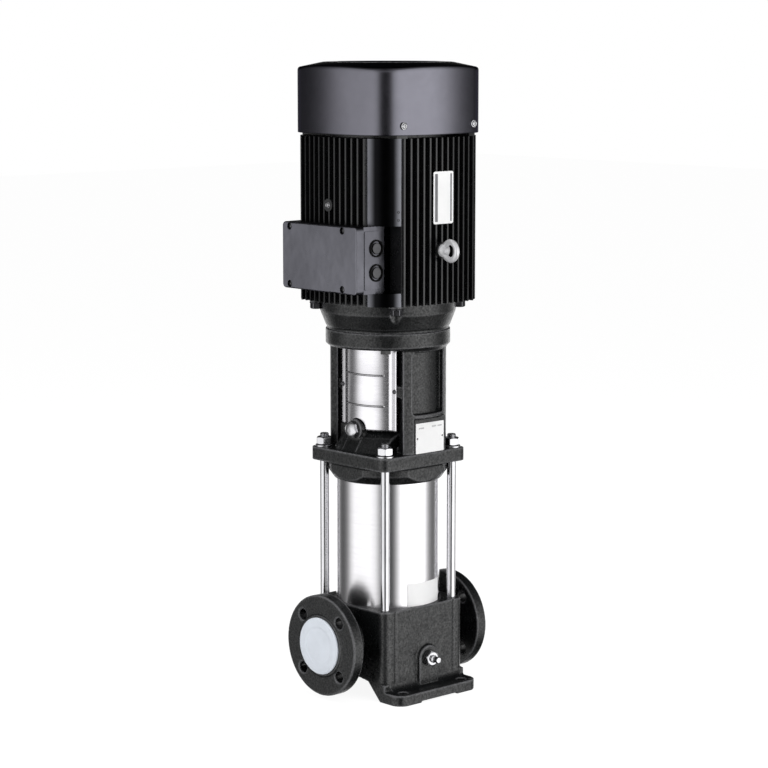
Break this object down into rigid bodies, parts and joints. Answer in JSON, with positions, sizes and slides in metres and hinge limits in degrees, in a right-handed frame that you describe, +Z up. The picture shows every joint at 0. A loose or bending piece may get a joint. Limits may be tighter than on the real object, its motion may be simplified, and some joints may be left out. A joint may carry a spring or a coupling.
{
  "type": "vertical pump",
  "caption": "Vertical multistage in-line pump with round pipe flanges, stainless sleeve, tie rods, coupling guards and a finned flanged electric motor on top.",
  "frame": {"origin": "centre of the foundation bolt pattern on the floor plane, on the shaft axis", "axes": "+Z up along the shaft, +X along the ports towards the outlet, -Y towards the drain plug, the rating labels and the lifting eye"},
  "size_m": [0.3066, 0.2961, 1.0275],
  "materials": {
    "black_casting": "satin",
    "motor_paint": "satin",
    "cowl_paint": "satin",
    "box_paint": "satin",
    "polished_stainless": "polished",
    "stainless": "brushed",
    "bright_fixings": "bright",
    "dark_fixings": "oxide black",
    "grey_steel": "machined",
    "electrical_steel": "laminated",
    "copper": "enamelled copper",
    "seal_rubber": "matte",
    "seal_face": "ceramic and carbon",
    "fan_plastic": "moulded",
    "block_plastic": "moulded",
    "cap_plastic": "moulded",
    "label_film": "printed film"
  },
  "bodies": {
    "pump": {"base_casing": "black_casting", "plug_washers": "grey_steel", "outer_sleeve": "polished_stainless", "sleeve_seals": "seal_rubber", "inlet_guide": "stainless", "stage_chambers": "stainless", "neck_rings": "seal_face", "top_chamber": "stainless", "pump_head": "black_casting", "tie_rods": "bright_fixings", "rod_nuts": "bright_fixings", "rod_washers": "bright_fixings", "seal_gland": "stainless", "gland_screws": "dark_fixings", "seal_seat": "seal_face", "motor_stool": "black_casting", "stool_screws": "dark_fixings", "ring_bolts": "dark_fixings", "guard_inlet_side": "polished_stainless", "guard_outlet_side": "polished_stainless", "guard_screws": "bright_fixings", "drive_end_shield": "black_casting", "shield_bolts": "dark_fixings", "motor_frame": "motor_paint", "stator_core": "electrical_steel", "stator_windings": "copper", "bearing_outer_races": "grey_steel", "bearing_balls": "grey_steel", "rear_end_shield": "motor_paint", "fan_cowl": "cowl_paint", "cowl_screws": "bright_fixings", "terminal_box": "box_paint", "terminal_block": "block_plastic", "blanking_plugs": "fan_plastic", "label_plates": "label_film", "lifting_eye": "bright_fixings", "earth_screw": "bright_fixings"},
    "rotor": {"impellers": "stainless", "impeller_spacers": "stainless", "pump_shaft": "stainless", "shaft_nut": "stainless", "seal_ring": "seal_face", "seal_bellows": "seal_rubber", "seal_collar": "stainless", "coupling_front": "grey_steel", "coupling_rear": "grey_steel", "coupling_screws": "dark_fixings", "shaft_pin": "stainless", "rotor_core": "electrical_steel", "motor_shaft": "grey_steel", "bearing_inner_races": "grey_steel", "cooling_fan": "fan_plastic"},
    "drain_plug": {"drain_plug": "bright_fixings"},
    "drain_screw": {"drain_screw": "bright_fixings"},
    "priming_plug": {"priming_plug": "bright_fixings"},
    "inlet_cap": {"inlet_cap": "cap_plastic"},
    "outlet_cap": {"outlet_cap": "cap_plastic"},
    "terminal_lid": {"terminal_lid": "box_paint", "lid_screws": "dark_fixings"}
  },
  "joints": [
    {"name": "rotor_spin", "type": "hinge", "parent": "pump", "child": "rotor", "pos_m": [0, 0, 0.5], "axis": [0, 0, 1], "continuous": true},
    {"name": "drain_plug_turn", "type": "hinge", "parent": "pump", "child": "drain_plug", "pos_m": [0.004, -0.096, 0.0614], "axis": [0, -1, 0], "range_deg": [0, 360]},
    {"name": "drain_screw_turn", "type": "hinge", "parent": "drain_plug", "child": "drain_screw", "pos_m": [0.004, -0.096, 0.0614], "axis": [0, -1, 0], "range_deg": [0, 360]},
    {"name": "priming_plug_turn", "type": "hinge", "parent": "pump", "child": "priming_plug", "pos_m": [-0.075, 0, 0.4367], "axis": [-1, 0, 0], "range_deg": [0, 360]},
    {"name": "inlet_cap_pull", "type": "slide", "parent": "pump", "child": "inlet_cap", "axis": [-1, 0, 0], "range_m": [0, 0.06]},
    {"name": "outlet_cap_pull", "type": "slide", "parent": "pump", "child": "outlet_cap", "axis": [1, 0, 0], "range_m": [0, 0.06]},
    {"name": "terminal_lid_lift", "type": "slide", "parent": "pump", "child": "terminal_lid", "axis": [-1, 0, 0], "range_m": [0, 0.08]}
  ]
}
